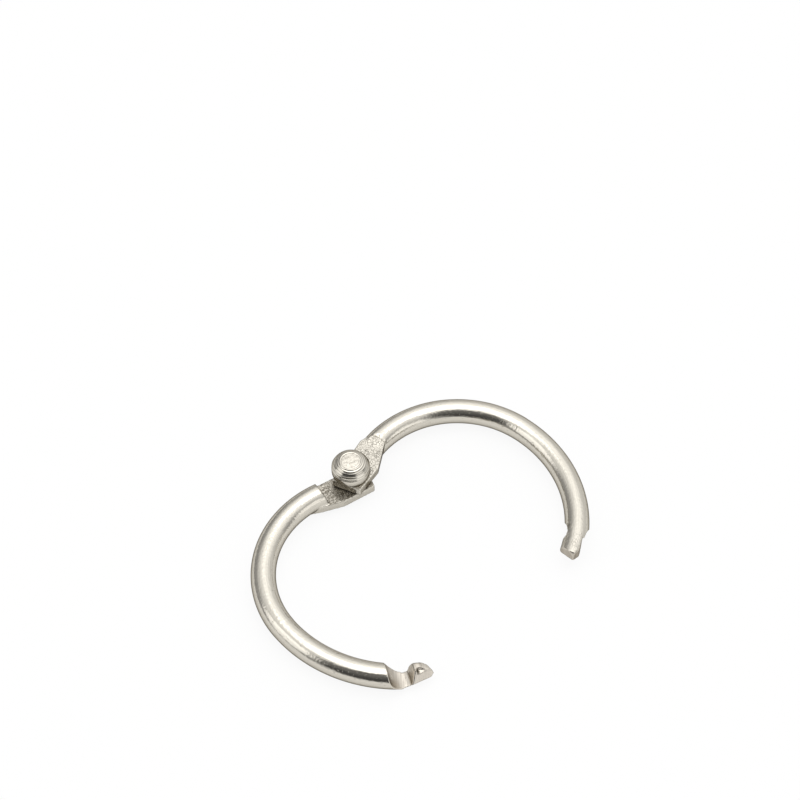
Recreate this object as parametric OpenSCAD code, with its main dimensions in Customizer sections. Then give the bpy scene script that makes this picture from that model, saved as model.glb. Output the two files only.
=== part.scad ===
// Hinged binder ring: two formed wire halves on a rivet, with a snap latch where the wire ends meet.
// The rivet's axis is along Z, the latch lies towards +X, and the ring lies flat in the XY plane.

/* [Wire] */
// diameter of the round wire
wire_d = 2.4; // [2.2:0.1:2.6]
// distance from the rivet's axis, along the lug, to the start of the first bend
straight_run = 2.5; // [2.2:0.1:3]
// sideways step from the rivet's axis to the middle of the lower half's wire
lower_step = 0.6; // [0.5:0.05:0.8]
// sideways step from the rivet's axis to the middle of the upper half's wire
upper_step = 0.3; // [0.2:0.05:0.4]
// centre-line radius of the tighter bend beside the hinge
hinge_bend_r = 10; // [9:0.1:12]
// angle of the tighter bend
hinge_bend_angle = 105; // [98:1:110]
// centre-line radius of the flatter bend that leads to the latch
latch_bend_r = 13.4; // [12:0.1:15]
// angle of the lower half's flatter bend, up to the middle of the latch
lower_latch_angle = 57.5; // [55:0.5:60]
// angle of the upper half's flatter bend, up to the middle of the latch
upper_latch_angle = 65; // [62:0.5:67]

/* [Hinge lug] */
// length of the lower lug past the rivet's axis, to its square-cut end
lower_lug_end = 1.8; // [1.6:0.05:2]
// length of the upper lug past the rivet's axis, to its square-cut end
upper_lug_end = 1.5; // [1.4:0.05:1.7]
// thickness of the flattened lug
lug_t = 0.9; // [0.8:0.05:1]
// gap between the two lugs
lug_gap = 0.1; // [0.06:0.01:0.16]
// outer edge of the lug at its cut end, sideways from the rivet's axis
lug_outer = 1.3; // [1.2:0.05:1.5]
// inner edge of the lug at its cut end, sideways from the rivet's axis
lug_inner_end = 1.65; // [1.5:0.05:1.9]
// widest place of the lug's inner edge, sideways from the rivet's axis
lug_inner_max = 2.2; // [2:0.05:2.4]
// distance from the rivet's axis to the widest place of the inner edge
lug_inner_at = 1.6; // [1:0.1:2]
// distance from the rivet's axis to the neck, where the lug narrows to the wire
lug_neck = 3.9; // [3.6:0.1:4.2]
// distance from the rivet's axis to where the pressed flat runs out in the wire
flat_end = 5.6; // [5.2:0.1:6]
// radius of the round shoulder that the other lug turns inside
shoulder_r = 3.6; // [3.2:0.1:3.8]

/* [Rivet] */
// diameter of the rivet's shank
shank_d = 1.8; // [1.4:0.05:2]
// radial running clearance of the shank in the lug holes
shank_clearance = 0.05; // [0.03:0.01:0.08]
// clearance between the turning lug and the head over it
head_clearance = 0.1; // [0.05:0.01:0.16]
// diameter of the head
head_d = 3.75; // [3.5:0.05:4]
// height of the head's straight wall
head_wall = 1.15; // [0.9:0.05:1.3]
// height of the dome from the wall to the flat top
dome_h = 0.8; // [0.6:0.05:0.9]
// diameter of the flat on top of the head
head_flat_d = 2.1; // [1.6:0.1:2.5]
// diameter of the peened tail under the lower lug
tail_d = 2.8; // [2.4:0.1:3.2]
// height of the peened tail
tail_h = 0.45; // [0.3:0.05:0.6]

/* [Latch] */
// distance along the wire from the middle of the latch to the middle of the scoop
scoop_at = 0.6; // [0.5:0.05:0.7]
// radius of the scoop cut across the wire
scoop_r = 1.65; // [1.6:0.05:1.7]
// height of the scoop's axis over the middle of the wire
scoop_axis = 0.9; // [0.85:0.05:0.95]
// clearance between the two hook walls of the closed latch, along the wire
latch_clearance = 0.2; // [0.12:0.02:0.26]
// height of the tip's top over the middle of the wire
tip_top = 0.4; // [0.3:0.05:0.45]
// length of the tip from the middle of the latch
tip_length = 2.1; // [1.9:0.05:2.15]
// length of the level top of the tip, from the middle of the latch
tip_flat = 0.9; // [0.7:0.05:1]
// lean of the hook's wall, sideways for each unit of height
wall_lean = 0.5; // [0.3:0.05:0.6]
// height of the tip's point under the middle of the wire
point_drop = 0.35; // [0.3:0.05:0.5]
// how far the tip's trimmed side stands from the middle of the wire
tip_side = 0.9; // [0.7:0.05:1]
// where the lower tip's trimmed side starts, along the wire from the middle of the latch
lower_trim = -0.4; // [-0.5:0.05:-0.3]
// where the upper tip's trimmed side starts, along the wire from the middle of the latch
upper_trim = -0.4; // [-0.5:0.05:-0.3]
// length of the bevel under the lower tip's point
lower_bevel = 1.2; // [1:0.05:1.3]
// length of the bevel behind the upper tip's point
upper_bevel = 0.4; // [0.3:0.05:0.6]

/* [Position] */
// angle that the ring stands open, measured from the closed ring
open_angle = 55.5; // [0:0.5:100]

/* [Hidden] */
$fn = 96;
wire_r = wire_d / 2;
lower_latch = latch_at(lower_step, lower_latch_angle);
upper_latch = latch_at(upper_step, upper_latch_angle);
lower_angle = atan2(lower_latch[1], lower_latch[0]);
upper_angle = atan2(upper_latch[1], upper_latch[0]);
span = norm(lower_latch);
tip_angle = 16;
bend_overlap = 1.5;
draw_down = 0.01;
lug_top = -lug_gap / 2;
lug_bottom = lug_top - lug_t;
floor_z = scoop_axis - scoop_r;
wall_foot = latch_clearance / 2 + wall_lean * (floor_z + 0.1);
wall_head = latch_clearance / 2 + wall_lean * tip_top;
head_bottom = lug_gap / 2 + lug_t + head_clearance;
dome_bottom = head_bottom + head_wall;
head_top = dome_bottom + dome_h;
tail_bottom = lug_bottom - tail_h;

// Centres of the two bends and the middle of the latch, seen from the rivet's axis with the lug along X.
function first_centre(step) = [straight_run, step + hinge_bend_r];
function second_centre(step) = first_centre(step)
    + (hinge_bend_r - latch_bend_r) * [sin(hinge_bend_angle), -cos(hinge_bend_angle)];
function latch_at(step, latch_angle) = second_centre(step)
    + latch_bend_r * [sin(hinge_bend_angle + latch_angle), -cos(hinge_bend_angle + latch_angle)];

// Sideways place of the wire's middle, at a distance along the lug.
function wire_y(step, along) = step + hinge_bend_r - sqrt(pow(hinge_bend_r, 2) - pow(along - straight_run, 2));

// Outline of the flattened lug, seen from above with the rivet's axis at the origin.
module lug_outline(step, lug_end) {
    neck_y = wire_y(step, lug_neck);
    flat_y = wire_y(step, flat_end);
    difference() {
        polygon([
            [-lug_end, -lug_outer],
            [lug_neck, neck_y - wire_r * 0.96],
            [flat_end, flat_y - wire_r * 0.5],
            [flat_end, flat_y + wire_r * 0.5],
            [lug_neck, neck_y + wire_r * 1.08],
            [lug_inner_at, lug_inner_max],
            [-lug_end, lug_inner_end]
        ]);
        circle(r = shank_d / 2 + shank_clearance);
    }
}

// The two bends of the wire. The second starts inside the first and is drawn down by a hair.
module bends(step, latch_angle) {
    translate(first_centre(step))
        rotate([0, 0, -90])
            rotate_extrude(angle = hinge_bend_angle)
                translate([hinge_bend_r, 0])
                    circle(r = wire_r);
    translate(second_centre(step))
        rotate([0, 0, hinge_bend_angle - bend_overlap - 90])
            rotate_extrude(angle = bend_overlap + latch_angle + tip_angle)
                translate([latch_bend_r, 0])
                    circle(r = wire_r - draw_down);
}

// Side view of the hook: the scoop's floor, the wall, the level top and the point with a bevel under it.
module hook_profile(bevel) {
    polygon([
        [-scoop_at, -2 * wire_r],
        [-scoop_at, floor_z],
        [wall_foot, floor_z + 0.1],
        [wall_head, tip_top],
        [tip_flat, tip_top],
        [tip_length - 0.15, 0.25 - point_drop],
        [tip_length, -point_drop],
        [tip_length - bevel, -wire_r],
        [tip_length - bevel, -2 * wire_r]
    ]);
}

// Plan of the tip: the outer side is trimmed from a step on, and the end runs slanting to a point.
module tip_plan(trim_start) {
    polygon([
        [-scoop_at, -2 * wire_r],
        [trim_start, -2 * wire_r],
        [trim_start, -wire_r],
        [trim_start + 0.6, -tip_side],
        [tip_flat + 0.2, -tip_side * 0.85],
        [tip_length - 0.3, -tip_side * 0.5],
        [tip_length, -0.2],
        [tip_length, 0],
        [tip_length - 0.5, 0.8],
        [tip_flat, wire_r],
        [tip_flat, 2 * wire_r],
        [-scoop_at, 2 * wire_r]
    ]);
}

// What the latch takes out of the wire. The cut is square to the line from the rivet to the latch.
module latch_cut(latch, trim_start, bevel) {
    translate(latch)
        rotate([0, 0, atan2(latch[1], latch[0]) + 90]) {
            rotate([90, 0, 0])
                linear_extrude(height = 6 * wire_r, center = true) {
                    intersection() {
                        translate([-scoop_at, scoop_axis])
                            circle(r = scoop_r);
                        translate([-scoop_at - 2 * scoop_r, -2 * scoop_r])
                            square([2 * scoop_r + 0.05, 4 * scoop_r]);
                    }
                    difference() {
                        translate([-scoop_at, -2 * wire_r])
                            square([scoop_at + 4 * wire_r, 4 * wire_r]);
                        hook_profile(bevel);
                    }
                }
            translate([0, 0, -2 * wire_r])
                linear_extrude(height = 4 * wire_r)
                    difference() {
                        translate([-scoop_at, -2 * wire_r])
                            square([scoop_at + 4 * wire_r, 4 * wire_r]);
                        tip_plan(trim_start);
                    }
        }
}

// One formed half, with the rivet's axis at the origin and the lug along X.
module formed_wire(step, lug_end, latch_angle, latch, trim_start, bevel) {
    union() {
        translate([0, 0, lug_bottom])
            linear_extrude(height = lug_t)
                lug_outline(step, lug_end);
        difference() {
            bends(step, latch_angle);
            latch_cut(latch, trim_start, bevel);
            translate([0, 0, lug_top])
                cylinder(r = shoulder_r, h = 2 * wire_r);
            translate([flat_end, 0, -wire_r])
                rotate([0, 8, 0])
                    translate([-3 * wire_r, -2 * wire_r, -wire_r])
                        cube([3 * wire_r, 4 * wire_r, wire_r]);
            translate([0, -2 * wire_r, lug_bottom - wire_r])
                cube([lug_neck, 4 * wire_r, wire_r]);
        }
    }
}

// The half that carries the rivet.
module lower_half_ring() {
    color("#c9c4b8")
        translate([-span / 2, 0, 0])
            rotate([0, 0, -lower_angle])
                formed_wire(lower_step, lower_lug_end, lower_latch_angle, lower_latch,
                    lower_trim, lower_bevel);
}

// The other half, turned over and swung open about the rivet.
module upper_half_ring() {
    color("#d2cdc2")
        translate([-span / 2, 0, 0])
            rotate([0, 0, open_angle])
                rotate([180, 0, 0])
                    rotate([0, 0, -upper_angle])
                        formed_wire(upper_step, upper_lug_end, upper_latch_angle, upper_latch,
                            upper_trim, upper_bevel);
}

// Headed rivet with a straight-walled, domed head and a peened tail.
module rivet() {
    color("#bdb8ac")
        translate([-span / 2, 0, 0])
            rotate_extrude()
                polygon([
                    [0, tail_bottom],
                    [tail_d / 2 - 0.25, tail_bottom],
                    [tail_d / 2, tail_bottom + 0.2],
                    [tail_d / 2, lug_bottom],
                    [shank_d / 2, lug_bottom],
                    [shank_d / 2, head_bottom],
                    [head_d / 2 - 0.1, head_bottom],
                    [head_d / 2, head_bottom + 0.12],
                    [head_d / 2, dome_bottom],
                    [head_flat_d / 2 + (head_d - head_flat_d) * 0.41, dome_bottom + dome_h * 0.38],
                    [head_flat_d / 2 + (head_d - head_flat_d) * 0.27, dome_bottom + dome_h * 0.73],
                    [head_flat_d / 2 + (head_d - head_flat_d) * 0.12, dome_bottom + dome_h * 0.93],
                    [head_flat_d / 2, head_top],
                    [0, head_top]
                ]);
}

lower_half_ring();
upper_half_ring();
rivet();
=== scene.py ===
import bpy
import math
import numpy as np
from mathutils import Matrix, Vector


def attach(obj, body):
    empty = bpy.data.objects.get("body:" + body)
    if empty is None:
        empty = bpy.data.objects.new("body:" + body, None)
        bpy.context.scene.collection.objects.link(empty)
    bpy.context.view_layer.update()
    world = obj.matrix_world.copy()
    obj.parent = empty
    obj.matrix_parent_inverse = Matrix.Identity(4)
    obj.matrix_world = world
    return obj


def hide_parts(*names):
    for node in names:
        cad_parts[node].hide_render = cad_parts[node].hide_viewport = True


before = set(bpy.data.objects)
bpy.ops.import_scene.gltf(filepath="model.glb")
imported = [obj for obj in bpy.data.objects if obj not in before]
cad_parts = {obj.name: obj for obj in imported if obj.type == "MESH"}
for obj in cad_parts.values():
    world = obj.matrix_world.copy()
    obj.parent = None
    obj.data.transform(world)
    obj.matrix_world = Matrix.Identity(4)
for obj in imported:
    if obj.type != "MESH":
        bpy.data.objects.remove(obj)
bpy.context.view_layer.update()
scene = bpy.context.scene
scene.view_settings.view_transform = "Standard"
mm = 0.001
print("frame loaded:", ", ".join(sorted(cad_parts)))

# the ring's own lay-out, in millimetres and degrees
# a half is shaped with the rivet at the origin and its lug along X
ringForm = {
    "pivot": (-11.3663, 0.0),
    "wireRadius": 1.2,
    "secondRadius": 1.19,  # the wire is a hair thinner past the first bend
    "straightRun": 2.5,
    "pivotStep": (0.6, 0.3),  # lower half, upper half
    "hingeBend": (10.0, 105.0),  # radius, angle
    "latchBend": (13.4, 57.5, 65.0),  # radius, angle of the lower half, angle of the upper half
    "openAngle": 55.5,
    "lugTop": -0.05,  # the face that meets the other lug
    "shoulder": 3.6,
}
pivotPlace = Matrix.Scale(mm, 4) @ Matrix.Translation((*ringForm["pivot"], 0))  # mm at the rivet to metres


def hexToLinear(code):
    parts = [int(code[i:i + 2], 16) / 255 for i in (1, 3, 5)]
    return tuple(c / 12.92 if c <= 0.04045 else ((c + 0.055) / 1.055) ** 2.4 for c in parts) + (1.0,)


def addNode(tree, kind, inputs=(), **settings):
    # one node with its settings; inputs go by name or number, or as a list in order
    # each is a value, a socket, or a node whose first output is linked
    node = tree.nodes.new("ShaderNode" + kind)
    for key, value in settings.items():
        setattr(node, key, value)
    for key, value in inputs.items() if isinstance(inputs, dict) else enumerate(inputs):
        if isinstance(value, bpy.types.Node):
            value = value.outputs[0]
        if isinstance(value, bpy.types.NodeSocket):
            tree.links.new(value, node.inputs[key])
        else:
            node.inputs[key].default_value = value
    return node


def newMaterial(name):
    mat = bpy.data.materials.new(name)
    mat.use_nodes = True
    mat.node_tree.nodes.clear()
    return mat, mat.node_tree


def setOnly(obj):
    bpy.ops.object.select_all(action="DESELECT")
    obj.select_set(True)
    bpy.context.view_layer.objects.active = obj


def applyModifier(obj, kind, **settings):
    setOnly(obj)
    mod = obj.modifiers.new(kind.title(), kind)
    for key, value in settings.items():
        setattr(mod, key, value)
    bpy.ops.object.modifier_apply(modifier=mod.name)


def readVectors(mesh, key):
    flat = np.empty(len(mesh.vertices) * 3)
    mesh.vertices.foreach_get(key, flat)
    return flat.reshape(-1, 3)


def bendCentres(upper):
    # centres of the two bends and the middle of the latch
    hingeR, hingeA = ringForm["hingeBend"]
    latchR = ringForm["latchBend"][0]
    first = np.array([ringForm["straightRun"], ringForm["pivotStep"][upper] + hingeR])
    turn = math.radians(hingeA)
    second = first + (hingeR - latchR) * np.array([math.sin(turn), -math.cos(turn)])
    end = math.radians(hingeA + ringForm["latchBend"][1 + upper])
    return first, second, second + latchR * np.array([math.sin(end), -math.cos(end)])


def latchAxes(upper):
    # the latch's middle, the way the tip points, and the way in to the rivet
    latch = bendCentres(upper)[2]
    inward = -latch / np.linalg.norm(latch)
    return latch, np.array([inward[1], -inward[0]]), inward


def halfToPart(upper):
    # from the half's own lay-out, in mm, to its place in the ring, in metres
    latch = bendCentres(upper)[2]
    place = Matrix.Rotation(-math.atan2(latch[1], latch[0]), 4, "Z")
    if upper:
        turnedOver = Matrix.Rotation(math.pi, 4, "X")
        place = Matrix.Rotation(math.radians(ringForm["openAngle"]), 4, "Z") @ turnedOver @ place
    return pivotPlace @ place


# latch tips: struck faces, and edges worn rounder than on the rest of the wire
latchForm = {
    # lower and upper half: the way a face looks, along the tip, in to the rivet and up,
    # then its distance and how far it reaches back from the latch, in mm
    "faces": (
        [(0.181, -0.873, -0.604, 0.87, 2.0), (0.267, -1.013, 0.867, 0.258, 0.2)],
        [(0.89, 0.456, 0.0, 1.544, 3.0)],
    ),
    # the corner of a step in the outer side, along, in and up in mm, and its turn in degrees
    "step": ((0.6, 0.52, 0.1, -15.0), (-0.45, -0.62, -3.0, -5.0)),
    "cutter": 6.0,  # mm, the block that takes these out
    "reach": 3.6,  # mm round the latch
    "wornFrom": 0.2,  # mm past the latch
    "wornTo": 1.5,
    "wear": 12,  # more rounds of smoothing
}


def cutAway(piece, place):
    # takes a block out of the piece
    bpy.ops.object.select_all(action="DESELECT")
    size, turn = latchForm["cutter"], place.to_euler()
    bpy.ops.mesh.primitive_cube_add(size=size, location=place.translation, rotation=turn)
    cutter = bpy.context.object
    applyModifier(piece, "BOOLEAN", object=cutter, operation="DIFFERENCE", solver="EXACT")
    bpy.data.objects.remove(cutter)


def shapeTip(piece, upper):
    latch, along, inward = latchAxes(upper)
    axes = Matrix((
        (along[0], inward[0], 0, latch[0]),
        (along[1], inward[1], 0, latch[1]),
        (0, 0, 1, 0),
        (0, 0, 0, 1),
    ))
    half = latchForm["cutter"] / 2
    for face in latchForm["faces"][upper]:
        normal = Vector(face[:3])
        depth, back = face[3] / normal.length, face[4]
        normal.normalize()
        side = normal.cross(Vector((1, 0, 0))).normalized()
        turned = Matrix((side.cross(normal), side, normal)).transposed().to_4x4()  # x runs to the point
        cutAway(piece, axes @ turned @ Matrix.Translation((half - back, 0, depth + half)))
    *corner, turn = latchForm["step"][upper]
    stepPlace = axes @ Matrix.Translation(corner) @ Matrix.Rotation(math.radians(turn), 4, "Z")
    cutAway(piece, stepPlace @ Matrix.Translation((half, -half, half)))


# skin of the wire halves: how fine it is, and how soft the pressed and cut edges are
wireSkin = {
    "merge": 0.002,  # mm
    "voxel": 0.0665,  # mm
    "softening": 4,  # rounds of smoothing on the edges
    "smoothing": 0.5,  # share of the way to the neighbours in a round
    "snap": 0.07,  # mm, how near the round wire a point is drawn to it
    "snapFade": 0.4,  # share of that over which the pull fades
    "facing": 0.93,  # cosine between a point's normal and straight out, above which it is drawn
    "facingFade": 0.05,
    "roundTo": 200.0,  # degrees, past the end of the second bend
    "inside": 0.002,  # mm, so that the skin stays within the solid
}


def wearTip(piece, upper):
    latch, along = latchAxes(upper)[:2]
    away = readVectors(piece.data, "co")[:, :2] - latch
    past = away @ along
    near = np.linalg.norm(away, axis=1) < latchForm["reach"]
    worn = (past > latchForm["wornFrom"]) & (past < latchForm["wornTo"]) & near
    group = piece.vertex_groups.new(name="worn")
    group.add([int(i) for i in np.where(worn)[0]], 1.0, "REPLACE")
    rounds, share = latchForm["wear"], wireSkin["smoothing"]
    applyModifier(piece, "SMOOTH", factor=share, iterations=rounds, vertex_group=group.name)
    piece.vertex_groups.remove(piece.vertex_groups["worn"])


def roundWire(mesh, upper):
    # points that are on the drawn wire go back to its true round after the softening
    points, normals = readVectors(mesh, "co"), readVectors(mesh, "normal")
    hingeR, hingeA = ringForm["hingeBend"]
    first, second = bendCentres(upper)[:2]
    snap = wireSkin["snap"]
    for centre, bendR, start, end, drawnR in (
        (first, hingeR, 0.0, hingeA, ringForm["wireRadius"]),
        (second, ringForm["latchBend"][0], hingeA, wireSkin["roundTo"], ringForm["secondRadius"]),
    ):
        wireR = drawnR - wireSkin["inside"]
        flat = points[:, :2] - centre
        angle = np.degrees(np.arctan2(flat[:, 0], -flat[:, 1])) % 360
        reach = np.linalg.norm(flat, axis=1)
        out = np.column_stack([flat / reach[:, None] * (reach - bendR)[:, None], points[:, 2]])
        away = np.linalg.norm(out, axis=1)
        unit = out / np.maximum(away, 1e-9)[:, None]
        facing = np.sum(unit * normals, axis=1)
        near = np.clip((snap - np.abs(away - wireR)) / (wireSkin["snapFade"] * snap), 0, 1)
        weight = near * np.clip((facing - wireSkin["facing"]) / wireSkin["facingFade"], 0, 1)
        weight = weight * ((angle >= start) & (angle < end))
        points = points + unit * ((wireR - away) * weight)[:, None]
    mesh.vertices.foreach_set("co", points.ravel())
    mesh.update()


# marks for the plate: where a half is coined, cut, grimy, or darkened with painted shade and painted dark
# reflections, in mm and shares
markForm = {
    "runTo": 250.0,  # degrees, past the tip
    "lugSide": 4.0,  # no lug lies further out
    # the lug's face on the other lug, darkened by grime and by painted shade under the rivet head and the
    # upper lug, and the furrows at the shoulder's foot, with painted shade in that corner
    "innerFacing": 0.8,
    "innerDepth": 0.08,
    "innerPast": 0.1,
    "innerGrimeAndPaintedShade": 0.74,
    "footWidth": 0.35,
    "footPaintedShade": 0.3,
    "furrowTurn": 3.0,  # furrows run out from the rivet
    "furrowRun": 0.25,
    # the lug's outer face, whose grain stops on a faint lip
    "outerFacing": 0.9,
    "outerGrime": 0.08,
    "grainEnd": 4.9,
    "lipFacing": 0.85,
    "lipWidth": 0.09,
    # the shoulder's top edge, as dark as the lip: a painted dark reflection on its rounded edge
    "rimWidth": 0.13,
    "rimFrom": 0.2,
    "lipAndPaintedRimReflection": 0.9,
    # latch: a point this far off the round wire is on a cut
    "cutDepth": 0.03,
    # the upper tip's struck skin, and a bruise on its inner side, along, in and up
    "struckFrom": -0.5,
    "struckShare": 0.55,
    "bruise": (-1.2, 0.92, -0.76),
    "bruiseReach": 0.5,
    "bruiseShare": 0.8,
    "stainReach": 0.45,
    "stainFade": 0.25,
    "stainGrime": 0.7,
    # the lower hook's ridge and the end of its step, darkened as painted dark reflections
    "ridgeFacing": 0.45,
    "ridgeFrom": 0.3,
    "ridgePaintedReflection": 0.9,
    "stepWidth": 0.14,
    "stepBelow": 0.05,
    "stepPaintedReflection": 1.2,
    "blurRounds": 2,
}


def straighten(points, upper):
    # how far along the wire a point is, and how far out from the wire's middle
    x, y = points[:, 0], points[:, 1]
    hingeR, hingeA = ringForm["hingeBend"]
    latchR = ringForm["latchBend"][0]
    first, second = bendCentres(upper)[:2]
    turn1 = np.degrees(np.arctan2(x - first[0], first[1] - y))
    turn2 = np.degrees(np.arctan2(x - second[0], second[1] - y)) % 360
    along = ringForm["straightRun"] + np.radians(turn1) * hingeR
    out = np.hypot(x - first[0], y - first[1]) - hingeR
    later = (turn2 >= hingeA) & (turn2 < markForm["runTo"])
    bendEnd = ringForm["straightRun"] + np.radians(hingeA) * hingeR
    along[later] = bendEnd + np.radians(turn2[later] - hingeA) * latchR
    out[later] = np.hypot(x - second[0], y - second[1])[later] - latchR
    onLug = (x < ringForm["straightRun"]) & (y < markForm["lugSide"])
    along[onLug] = x[onLug]
    out[onLug] = ringForm["pivotStep"][upper] - y[onLug]
    return along, out


def blurMarks(mesh, values):
    # softens the edge of a mark: half a point's own value, half its neighbours'
    pairs = np.empty(len(mesh.edges) * 2, dtype=np.int64)
    mesh.edges.foreach_get("vertices", pairs)
    pairs = pairs.reshape(-1, 2)
    count = np.bincount(pairs.ravel(), minlength=len(values))
    for _ in range(markForm["blurRounds"]):
        total = np.zeros(len(values))
        np.add.at(total, pairs[:, 0], values[pairs[:, 1]])
        np.add.at(total, pairs[:, 1], values[pairs[:, 0]])
        values = 0.5 * values + 0.5 * total / np.maximum(count, 1)
    return values


def paintHalf(mesh, upper):
    # writes the marks, and each point's place along the straightened wire and round the rivet
    points = readVectors(mesh, "co")
    nz = readVectors(mesh, "normal")[:, 2]
    x, y, z = points.T
    along, out = straighten(points, upper)
    reach = np.hypot(x, y)
    fromShoulder = np.abs(reach - ringForm["shoulder"])
    onInner = np.abs(z - ringForm["lugTop"]) < markForm["innerDepth"]
    inShoulder = reach < ringForm["shoulder"] + markForm["innerPast"]
    innerFlat = (nz > markForm["innerFacing"]) & onInner & inShoulder
    outerFlat = (nz < -markForm["outerFacing"]) & (reach < markForm["grainEnd"])
    onLip = np.abs(reach - markForm["grainEnd"]) < markForm["lipWidth"]
    lip = (nz < -markForm["lipFacing"]) & onLip & (x > 0)
    # painted dark reflection along the shoulder's rounded top edge; the lip is a dark line where the grain
    # stops
    rim = (fromShoulder < markForm["rimWidth"]) & (z > markForm["rimFrom"]) & (x > 0)
    # painted shade: the corner at the shoulder's foot is darkened, and the lug's inner face is darkened under
    # the rivet head and the upper lug, over some grime
    foot = np.clip(1 - fromShoulder / markForm["footWidth"], 0, 1)
    innerGrimeAndPaintedShade = innerFlat * (markForm["innerGrimeAndPaintedShade"] + markForm["footPaintedShade"] * foot)
    grimeAndPaintedShade = np.maximum(innerGrimeAndPaintedShade + outerFlat * markForm["outerGrime"], markForm["lipAndPaintedRimReflection"] * (rim | lip))
    coined = (innerFlat | outerFlat).astype(float)
    latch, tipAlong, inward = latchAxes(upper)
    away = points[:, :2] - latch
    past, depth = away @ tipAlong, away @ inward
    nearLatch = np.hypot(x - latch[0], y - latch[1]) < latchForm["reach"]
    cut = nearLatch & (np.abs(np.hypot(out, z) - ringForm["wireRadius"]) > markForm["cutDepth"])
    if upper:
        struck = nearLatch & (past > markForm["struckFrom"]) & ~cut
        bruiseU, bruiseIn, bruiseZ = markForm["bruise"]
        fromBruise = np.hypot(np.hypot(past - bruiseU, depth - bruiseIn), z - bruiseZ)
        bruise = fromBruise < markForm["bruiseReach"]
        beaten = np.maximum(markForm["struckShare"] * struck, markForm["bruiseShare"] * bruise)
        coined = np.maximum(coined, beaten)
        stain = np.clip((markForm["stainReach"] - fromBruise) / markForm["stainFade"], 0, 1)
        grimeAndPaintedShade = np.maximum(grimeAndPaintedShade, markForm["stainGrime"] * stain)
    else:
        # painted dark reflections darken the end of the step and the hook's ridge
        stepU, stepIn, stepZ = latchForm["step"][upper][:3]
        onStep = (np.abs(past - stepU) < markForm["stepWidth"]) & (depth < stepIn)
        stepEnd = nearLatch & onStep & (z > stepZ - markForm["stepBelow"])
        ridge = nearLatch & (past > 0.0) & (nz > markForm["ridgeFacing"]) & (z > markForm["ridgeFrom"])
        paintedHookReflection = np.maximum(markForm["stepPaintedReflection"] * stepEnd, markForm["ridgePaintedReflection"] * ridge)
        grimeAndPaintedShade = np.maximum(grimeAndPaintedShade, paintedHookReflection)
    for label, values in (("coined", coined), ("cutFace", cut), ("grimeAndPaintedShade", grimeAndPaintedShade)):
        values = blurMarks(mesh, values.astype(float))
        mesh.attributes.new(label, "FLOAT", "POINT").data.foreach_set("value", values)
    run = np.column_stack([along, out, z])
    polar = np.column_stack([
        np.arctan2(y, x) * markForm["furrowTurn"], reach * markForm["furrowRun"], np.zeros(len(points)),
    ])
    for label, vectors in (("wireRun", run), ("lugPolar", polar)):
        mesh.attributes.new(label, "FLOAT_VECTOR", "POINT").data.foreach_set("vector", vectors.ravel())


def makeHalf(name, nodeName, body, upper):
    # a copy of the half's solid, merged, in millimetres and lying along its lug
    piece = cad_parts[nodeName].copy()
    piece.data = piece.data.copy()
    piece.name = name
    for key in list(piece.keys()):
        if key.startswith("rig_"):
            del piece[key]
    piece.parent = None
    scene.collection.objects.link(piece)
    setOnly(piece)
    place = halfToPart(upper)
    piece.data.transform(place.inverted())
    bpy.ops.object.mode_set(mode="EDIT")
    bpy.ops.mesh.select_all(action="SELECT")
    bpy.ops.mesh.remove_doubles(threshold=wireSkin["merge"])
    bpy.ops.mesh.normals_make_consistent(inside=False)
    bpy.ops.object.mode_set(mode="OBJECT")
    shapeTip(piece, upper)
    applyModifier(piece, "REMESH", mode="VOXEL", voxel_size=wireSkin["voxel"], adaptivity=0.0)
    applyModifier(piece, "SMOOTH", factor=wireSkin["smoothing"], iterations=wireSkin["softening"])
    wearTip(piece, upper)
    roundWire(piece.data, upper)
    paintHalf(piece.data, upper)
    piece.data.transform(place)
    bpy.ops.object.shade_smooth()
    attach(piece, body)
    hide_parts(nodeName)
    print(name, "has", len(piece.data.polygons), "faces")
    return piece


# rivet: a turned profile from the tail up, radius and height in millimetres
rivetForm = {
    "sides": 128,
    "tail": [
        (1.05, -1.4), (1.22, -1.385), (1.34, -1.32), (1.4, -1.2), (1.4, -0.97), (1.37, -0.95), (0.9, -0.95),
    ],
    "wall": [
        (0.9, 1.05), (1.5, 1.052), (1.6, 1.08), (1.74, 1.2), (1.83, 1.3), (1.866, 1.37), (1.874, 1.45),
        (1.874, 1.7), (1.87, 1.98), (1.855, 2.03), (1.82, 2.05), (1.815, 2.075), (1.84, 2.1),
    ],
    "domeFoot": (1.855, 2.14),
    "domeTop": (1.06, 2.975),
    "domeBulge": 0.14,  # how far the dome stands out past a straight cone
    "domeRings": 5,
    "ringSteps": 8,
    "ringDepth": 0.016,
    "highest": 2.997,
    "flat": [
        (1.02, 2.99), (0.98, 2.975), (0.94, 2.945), (0.9, 2.96), (0.8, 2.97), (0.74, 2.958), (0.68, 2.968),
        (0.4, 2.972), (0.15, 2.965),
    ],
    "smoothAngle": 50,  # degrees
}


def rivetProfile():
    # the dome's rings are rounded steps, square to the line from its foot to its top
    (footR, footZ), (topR, topZ) = rivetForm["domeFoot"], rivetForm["domeTop"]
    span = math.hypot(topR - footR, topZ - footZ)
    outR, outZ = (topZ - footZ) / span, (footR - topR) / span
    dome = []
    steps = rivetForm["domeRings"] * rivetForm["ringSteps"]
    for i in range(steps + 1):
        t = i / steps
        push = rivetForm["domeBulge"] * math.sin(math.pi * t)
        push -= rivetForm["ringDepth"] * 0.5 * (1 - math.cos(2 * math.pi * rivetForm["domeRings"] * t))
        dome.append((footR + (topR - footR) * t + outR * push, footZ + (topZ - footZ) * t + outZ * push))
    widest = max(rivetForm["wall"])[0]
    dome = [(min(r, widest), min(z, rivetForm["highest"])) for r, z in dome]
    return rivetForm["tail"] + rivetForm["wall"] + dome + rivetForm["flat"]


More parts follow.
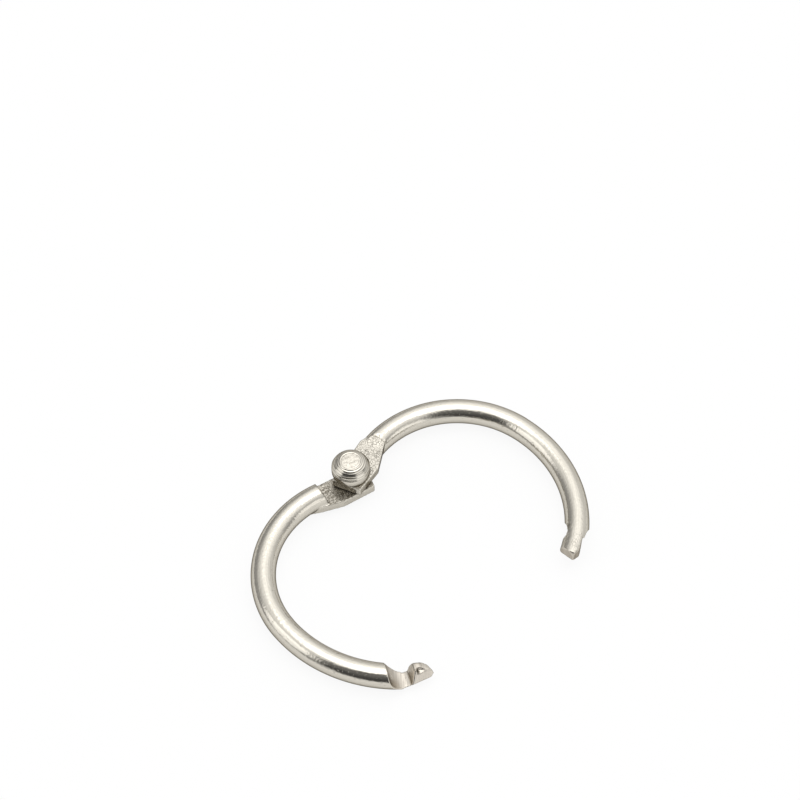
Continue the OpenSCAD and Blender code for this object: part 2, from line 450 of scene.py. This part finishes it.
def makeRivet():
    (oldR, oldZ), *rest = rivetProfile()
    bpy.ops.object.select_all(action="DESELECT")
    bpy.ops.mesh.primitive_circle_add(
        vertices=rivetForm["sides"], radius=oldR, fill_type="NGON", location=(0, 0, oldZ),
    )
    piece = bpy.context.object
    piece.name = "rivetSkin"
    bpy.ops.object.transform_apply(location=True, rotation=True, scale=True)
    bpy.ops.object.mode_set(mode="EDIT")
    bpy.ops.mesh.select_mode(type="FACE")
    bpy.ops.mesh.select_all(action="SELECT")
    for radius, height in rest:
        bpy.ops.mesh.extrude_region_move(TRANSFORM_OT_translate={"value": (0, 0, height - oldZ)})
        bpy.ops.transform.resize(value=(radius / oldR, radius / oldR, 1), center_override=(0, 0, height))
        oldR, oldZ = radius, height
    bpy.ops.mesh.select_all(action="SELECT")
    bpy.ops.mesh.normals_make_consistent(inside=False)
    bpy.ops.object.mode_set(mode="OBJECT")
    piece.data.transform(pivotPlace)
    setOnly(piece)
    bpy.ops.object.shade_smooth_by_angle(angle=math.radians(rivetForm["smoothAngle"]))
    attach(piece, "lower_half")
    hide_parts("rivet")
    print("rivetSkin has", len(piece.data.polygons), "faces")
    return piece


# bright nickel plate over drawn steel wire: a warm, nearly clear mirror that wavers a little, with faint
# drawing lines and pits; a crackled grain breaks the mirror up on the coined lugs, and the cuts are satin
# with mill marks
nickel = {
    "colour": "#d3cec3",
    "shade": "#564f42",  # grime and thin plate in the hollows, and the painted shade and painted dark reflections of the grime marks
    "satin": "#cdc6bb",  # cut faces, with less shine
    "edge": "#77726b",  # reflection at a glancing angle
    "roughness": 0.14,
    "lineRoughness": 0.08,  # swing of the roughness from line to line
    "coinedRoughness": 0.3,
    "cutRoughness": 0.33,
    # sizes, mm
    "lineSize": 0.11,  # across a drawing line
    "pitSize": 0.17,
    "dimpleSize": 0.27,  # the orange peel of the plate
    "grainSize": 0.24,  # the coined grain
    "veinSize": 0.3,  # the cells of the crackle
    "veinWarp": 0.3,  # how far they are pulled out of true
    "patchSize": 0.7,  # where the crackle is strong or faint
    "streakSize": 0.2,  # the furrows at the shoulder's foot
    "millSize": 0.12,  # across a mill mark
    # width of a line or mark as a share of its length
    "lineStretch": 0.05,
    "millStretch": 0.06,
    # heights, mm
    "lineDepth": 0.007,
    "pitDepth": 0.008,
    "dimpleDepth": 0.016,
    "grainDepth": 0.022,
    "veinDepth": 0.02,
    "streakDepth": 0.09,
    "millDepth": 0.015,
    "furrowShare": 0.7,  # how far furrows take the place of crackle in the grime
    # from and to in the pattern, then what these two give
    "pitFade": (0.65, 0.75, 0.0, 1.0),
    "veinFade": (0.0, 0.09, 1.0, 0.0),
    "patchFade": (0.38, 0.6, 0.35, 1.0),
    # how dark a pattern is, a share or as above
    "veinTone": 0.46,
    "pitTone": 0.32,
    "grainTone": (0.36, 0.5, 0.2, 0.0),
    "streakTone": (0.4, 0.62, 0.8, 0.3),
    "lineTone": (0.35, 0.6, 0.09, 0.0),
    "millTone": (0.34, 0.58, 0.16, 0.0),
}


def wirePlate(name):
    mat, tree = newMaterial(name)
    coined = addNode(tree, "Attribute", attribute_name="coined").outputs["Fac"]
    cut = addNode(tree, "Attribute", attribute_name="cutFace").outputs["Fac"]
    # the grime mark holds grime, and also painted shade and painted dark reflections
    grimeAndPaintedShade = addNode(tree, "Attribute", attribute_name="grimeAndPaintedShade").outputs["Fac"]
    run = addNode(tree, "Attribute", attribute_name="wireRun").outputs["Vector"]  # mm along, out and up
    polar = addNode(tree, "Attribute", attribute_name="lugPolar").outputs["Vector"]
    # patterns
    lineScale, millScale = (nickel["lineStretch"], 1, 1), (1, nickel["millStretch"], nickel["millStretch"])
    drawnOut = addNode(tree, "VectorMath", [run, lineScale], operation="MULTIPLY")
    lines = addNode(tree, "TexNoise", {"Vector": drawnOut, "Scale": 1 / nickel["lineSize"], "Detail": 3.0})
    pitNoise = addNode(tree, "TexNoise", {"Vector": run, "Scale": 1 / nickel["pitSize"], "Detail": 2.0})
    pits = addNode(tree, "MapRange", [pitNoise, *nickel["pitFade"]])
    dimples = addNode(tree, "TexNoise", {"Vector": run, "Scale": 1 / nickel["dimpleSize"], "Detail": 2.0})
    grain = addNode(tree, "TexNoise", {
        "Vector": run, "Scale": 1 / nickel["grainSize"], "Detail": 4.0, "Roughness": 0.6,
    })
    pull = (nickel["veinWarp"],) * 3
    warped = addNode(tree, "VectorMath", [grain.outputs["Color"], pull, run], operation="MULTIPLY_ADD")
    cells = addNode(tree, "TexVoronoi", {
        "Vector": warped, "Scale": 1 / nickel["veinSize"],
    }, feature="DISTANCE_TO_EDGE")
    cracks = addNode(tree, "MapRange", [cells, *nickel["veinFade"]])
    patches = addNode(tree, "TexNoise", {"Vector": run, "Scale": 1 / nickel["patchSize"], "Detail": 1.0})
    strong = addNode(tree, "MapRange", [patches, *nickel["patchFade"]])
    veins = addNode(tree, "Math", [cracks, strong], operation="MULTIPLY")
    streaks = addNode(tree, "TexNoise", {
        "Vector": polar, "Scale": 1 / nickel["streakSize"], "Detail": 3.0, "Roughness": 0.6,
    })
    across = addNode(tree, "VectorMath", [run, millScale], operation="MULTIPLY")
    mill = addNode(tree, "TexNoise", {"Vector": across, "Scale": 1 / nickel["millSize"], "Detail": 2.0})
    # heights in millimetres: drawn wire, then the cuts, then the lugs
    drawn = addNode(tree, "Math", [lines, nickel["lineDepth"]], operation="MULTIPLY")
    pitted = addNode(tree, "Math", [pits, -nickel["pitDepth"], drawn], operation="MULTIPLY_ADD")
    peeled = addNode(tree, "Math", [dimples, nickel["dimpleDepth"], pitted], operation="MULTIPLY_ADD")
    milled = addNode(tree, "Math", [mill, nickel["millDepth"]], operation="MULTIPLY")
    smooth = addNode(tree, "Mix", {0: cut, 2: peeled, 3: milled})
    grained = addNode(tree, "Math", [grain, nickel["grainDepth"]], operation="MULTIPLY")
    crackle = addNode(tree, "Math", [veins, -nickel["veinDepth"], grained], operation="MULTIPLY_ADD")
    furrows = addNode(tree, "Math", [streaks, nickel["streakDepth"]], operation="MULTIPLY")
    furrowed = addNode(tree, "Math", [grimeAndPaintedShade, nickel["furrowShare"]], operation="MULTIPLY")
    struck = addNode(tree, "Mix", {0: furrowed, 2: crackle, 3: furrows})
    height = addNode(tree, "Mix", {0: coined, 2: smooth, 3: struck})
    bump = addNode(tree, "Bump", {"Strength": 1.0, "Distance": mm, "Height": height})
    # darkening: the grime marks, with their painted shade and painted dark reflections, along the furrows;
    # grime in the crackle and in the pits, and faintly along the lines and mill marks
    low = addNode(tree, "MapRange", [grain, *nickel["grainTone"]])
    hollow = addNode(tree, "Math", [veins, nickel["veinTone"], low], operation="MULTIPLY_ADD")
    onLug = addNode(tree, "Math", [hollow, coined], operation="MULTIPLY")
    packed = addNode(tree, "MapRange", [streaks, *nickel["streakTone"]])
    # painted shade and painted dark reflections from the grime mark, with the grime in the crackle
    paintedShadeAndDirt = addNode(tree, "Math", [grimeAndPaintedShade, packed, onLug], operation="MULTIPLY_ADD")
    spotted = addNode(tree, "Math", [pits, nickel["pitTone"], paintedShadeAndDirt], operation="MULTIPLY_ADD")
    faint = addNode(tree, "MapRange", [lines, *nickel["lineTone"]])
    marks = addNode(tree, "MapRange", [mill, *nickel["millTone"]])
    fine = addNode(tree, "Mix", {0: cut, 2: faint, 3: marks})
    tone = addNode(tree, "Math", [spotted, fine], operation="ADD", use_clamp=True)
    plate, satin, shade = (hexToLinear(nickel[key]) for key in ("colour", "satin", "shade"))
    clean = addNode(tree, "Mix", {0: cut, 6: plate, 7: satin}, data_type="RGBA")
    colour = addNode(tree, "Mix", {0: tone, 6: clean.outputs[2], 7: shade}, data_type="RGBA")
    swing = nickel["lineRoughness"]
    lined = addNode(tree, "Math", [lines, swing, nickel["roughness"] - swing / 2], operation="MULTIPLY_ADD")
    offCut = addNode(tree, "Mix", {0: cut, 2: lined, 3: nickel["cutRoughness"]})
    rough = addNode(tree, "Mix", {0: coined, 2: offCut, 3: nickel["coinedRoughness"]})
    shader = addNode(tree, "BsdfPrincipled", {
        "Base Color": colour.outputs[2], "Metallic": 1.0, "Roughness": rough, "Normal": bump,
        "Specular Tint": hexToLinear(nickel["edge"]),
    })
    addNode(tree, "OutputMaterial", {"Surface": shader})
    return mat


# the same plate on the headed rivet: fine turned rings on the dome and wall, a lightly hammered flat on top
rivetPlateForm = {
    "ringSize": 0.09,  # mm between the fine rings
    "ringDepth": 0.004,  # mm
    "roughness": 0.08,
    "hammerSize": 0.3,  # mm
    "hammerDepth": 0.035,  # mm
    "flatRadius": 0.96,  # mm
    "wallTop": 2.1,  # mm, where the dome starts
    "blur": 0.03,  # mm, how softly one zone meets the next
    # from and to in the pattern, then how dark these two are
    "ringTone": (0.3, 0.52, 0.5, 0.0),
    "hammerTone": (0.36, 0.52, 0.35, 0.0),
}


def rivetPlate(name):
    mat, tree = newMaterial(name)
    sizes = ("wallTop", "flatRadius", "blur", "ringSize", "hammerSize")
    wallTop, flatEdge, blur, ringSize, hammerSize = (rivetPlateForm[key] * mm for key in sizes)
    coord = addNode(tree, "TexCoord").outputs["Object"]
    pivot = (ringForm["pivot"][0] * mm, ringForm["pivot"][1] * mm, 0)
    level = addNode(tree, "VectorMath", [coord, (1, 1, 0)], operation="MULTIPLY")
    reach = addNode(tree, "VectorMath", [level, pivot], operation="DISTANCE").outputs["Value"]
    rise = addNode(tree, "SeparateXYZ", [coord]).outputs["Z"]
    dome = addNode(tree, "MapRange", [rise, wallTop - blur, wallTop + blur])
    disc = addNode(tree, "MapRange", [reach, flatEdge - blur, flatEdge + blur, 1.0, 0.0])
    top = addNode(tree, "Math", [disc, dome], operation="MULTIPLY")
    place = addNode(tree, "Mix", {0: dome, 2: rise, 3: reach})
    rings = addNode(tree, "TexNoise", {
        "W": place, "Scale": 1 / ringSize, "Detail": 2.0,
    }, noise_dimensions="1D")
    hammer = addNode(tree, "TexNoise", {
        "Vector": coord, "Scale": 1 / hammerSize, "Detail": 3.0, "Roughness": 0.6,
    })
    turned = addNode(tree, "Math", [rings, rivetPlateForm["ringDepth"]], operation="MULTIPLY")
    beaten = addNode(tree, "Math", [hammer, rivetPlateForm["hammerDepth"]], operation="MULTIPLY")
    height = addNode(tree, "Mix", {0: top, 2: turned, 3: beaten})
    bump = addNode(tree, "Bump", {"Strength": 1.0, "Distance": mm, "Height": height})
    inRings = addNode(tree, "MapRange", [rings, *rivetPlateForm["ringTone"]])
    onFlat = addNode(tree, "MapRange", [hammer, *rivetPlateForm["hammerTone"]])
    tone = addNode(tree, "Mix", {0: top, 2: inRings, 3: onFlat})
    plate, shade = hexToLinear(nickel["colour"]), hexToLinear(nickel["shade"])
    colour = addNode(tree, "Mix", {0: tone, 6: plate, 7: shade}, data_type="RGBA")
    rough = addNode(tree, "Mix", {0: top, 2: rivetPlateForm["roughness"], 3: nickel["coinedRoughness"]})
    shader = addNode(tree, "BsdfPrincipled", {
        "Base Color": colour.outputs[2], "Metallic": 1.0, "Roughness": rough, "Normal": bump,
        "Specular Tint": hexToLinear(nickel["edge"]),
    })
    addNode(tree, "OutputMaterial", {"Surface": shader})
    return mat


lowerHalf = makeHalf("lowerHalfSkin", "lower_half_ring", "lower_half", 0)
upperHalf = makeHalf("upperHalfSkin", "upper_half_ring", "upper_half", 1)
rivetSkin = makeRivet()
wireMaterial = wirePlate("bright nickel plate on drawn wire")
rivetMaterial = rivetPlate("bright nickel plate on headed rivet")
for piece, material in ((lowerHalf, wireMaterial), (upperHalf, wireMaterial), (rivetSkin, rivetMaterial)):
    piece.data.materials.clear()
    piece.data.materials.append(material)
for nodeName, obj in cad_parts.items():
    obj.data.materials.clear()
    obj.data.materials.append(rivetMaterial if nodeName == "rivet" else wireMaterial)
print("nickel plate is on the halves and the rivet")

# camera: at the photograph's place
view = {
    "azimuth": 75.04,
    "elevation": 52.87,
    "distance": 219.65,  # mm
    "target": (-19.402, 7.067, 0.0),  # mm, where the middle of the frame meets the wire's mid-plane
    "focalPixels": 2200.0,
    "framePixels": 800,
    "sensor": 36.0,  # mm
    "clip": (0.01, 5.0),  # m
}


def makeCamera():
    data = bpy.data.cameras.new("camera")
    data.sensor_width = view["sensor"]
    data.lens = view["focalPixels"] / view["framePixels"] * view["sensor"]
    data.clip_start, data.clip_end = view["clip"]
    cam = bpy.data.objects.new("camera", data)
    scene.collection.objects.link(cam)
    a, e = math.radians(view["azimuth"]), math.radians(view["elevation"])
    back = Vector((math.sin(a) * math.cos(e), -math.cos(a) * math.cos(e), math.sin(e)))
    target = Vector(view["target"]) * mm
    cam.location = target + back * view["distance"] * mm
    cam.rotation_euler = (-back).to_track_quat("-Z", "Y").to_euler()
    scene.camera = cam


# floor: white paper, which shows a faint shadow
stageForm = {
    "floorTop": -1.46,  # mm
    "floorSize": 0.9,  # m
    "paper": "#f8f8f7",
    "plainSeen": 0.9,  # how much of the paper shows as plain white in the view
    "plainInMetal": 0.4,  # and in the metal, which shows more of its shade
}


def makeFloor():
    bpy.ops.object.select_all(action="DESELECT")
    top = stageForm["floorTop"] * mm
    bpy.ops.mesh.primitive_plane_add(size=stageForm["floorSize"], location=(0, 0, top))
    floor = bpy.context.object
    floor.name = "paperFloor"
    mat, tree = newMaterial("white paper")
    path = addNode(tree, "LightPath").outputs
    inMetal = addNode(tree, "Math", [path["Is Glossy Ray"], path["Is Transmission Ray"]], operation="MAXIMUM")
    mirrored = addNode(tree, "Math", [inMetal, stageForm["plainInMetal"]], operation="MULTIPLY")
    seen = addNode(tree, "Math", [path["Is Camera Ray"], stageForm["plainSeen"]], operation="MULTIPLY")
    share = addNode(tree, "Math", [seen, mirrored], operation="MAXIMUM")
    paper = addNode(tree, "BsdfDiffuse", {"Color": hexToLinear(stageForm["paper"])})
    white = addNode(tree, "Emission", {"Color": (1, 1, 1, 1), "Strength": 1.0})
    mix = addNode(tree, "MixShader", [share, paper, white])
    addNode(tree, "OutputMaterial", {"Surface": mix})
    floor.data.materials.append(mat)


# light: a round soft box overhead and a pale room, palest at the back right and dark behind the camera,
# with a soft lamp to each side of it
lightForm = {
    "boxSize": 0.3,  # m
    "boxHeight": 0.32,  # m
    "boxForward": 0.03,  # m
    "boxPower": 0.21,  # W
    "horizon": 0.37,
    "high": 1.15,
    "skyRise": (0.3, 0.95),  # sine of the height where the room starts and stops to brighten
    # bearing from the view's own direction, height, outer and inner edge of the patch in degrees,
    # then its level: added to the room, or for the dark patch a share of it
    "back": (36, 28, 64, 22, 0.5),
    "dark": (-167, 37, 42, 29, 0.19),
    "leftLamp": (-105, 27, 26, 15, 1.0),
    "rightLamp": (126, 6, 28, 17, 1.0),
}


def towards(bearing, height):
    # unit vector at a bearing clockwise from the view's own direction, seen from above
    a = math.radians(view["azimuth"])
    away, right = Vector((-math.sin(a), math.cos(a), 0)), Vector((math.cos(a), math.sin(a), 0))
    b, h = math.radians(bearing), math.radians(height)
    return (away * math.cos(b) + right * math.sin(b)) * math.cos(h) + Vector((0, 0, math.sin(h)))


def roomPatch(tree, direction, spot, outside):
    # a soft round patch on the room's wall
    bearing, height, outer, inner, level = spot
    middle = towards(bearing, height)
    near = addNode(tree, "VectorMath", [direction, middle], operation="DOT_PRODUCT").outputs["Value"]
    edges = math.cos(math.radians(outer)), math.cos(math.radians(inner))
    return addNode(tree, "MapRange", [near, *edges, outside, level], interpolation_type="SMOOTHSTEP")


def makeLight():
    lamp = bpy.data.lights.new("softBox", "AREA")
    lamp.shape = "DISK"
    lamp.size = lightForm["boxSize"]
    lamp.energy = lightForm["boxPower"]
    obj = bpy.data.objects.new("softBox", lamp)
    scene.collection.objects.link(obj)
    obj.location = towards(0, 0) * lightForm["boxForward"] + Vector((0, 0, lightForm["boxHeight"]))
    world = bpy.data.worlds.new("studioRoom")
    scene.world = world
    world.use_nodes = True
    tree = world.node_tree
    tree.nodes.clear()
    direction = addNode(tree, "TexCoord").outputs["Generated"]
    rise = addNode(tree, "SeparateXYZ", [direction]).outputs["Z"]
    levels = lightForm["horizon"], lightForm["high"]
    sky = addNode(tree, "MapRange", [rise, *lightForm["skyRise"], *levels], interpolation_type="SMOOTHSTEP")
    back = roomPatch(tree, direction, lightForm["back"], 0.0)
    dark = roomPatch(tree, direction, lightForm["dark"], 1.0)
    left = roomPatch(tree, direction, lightForm["leftLamp"], 0.0)
    right = roomPatch(tree, direction, lightForm["rightLamp"], 0.0)
    wall = addNode(tree, "Math", [sky, back], operation="ADD")
    room = addNode(tree, "Math", [wall, dark, left], operation="MULTIPLY_ADD")
    lit = addNode(tree, "Math", [room, right], operation="ADD")
    shine = addNode(tree, "Background", {"Color": (1, 1, 1, 1), "Strength": lit})
    addNode(tree, "OutputWorld", {"Surface": shine})


makeCamera()
makeFloor()
makeLight()
print("camera, floor and light are placed")
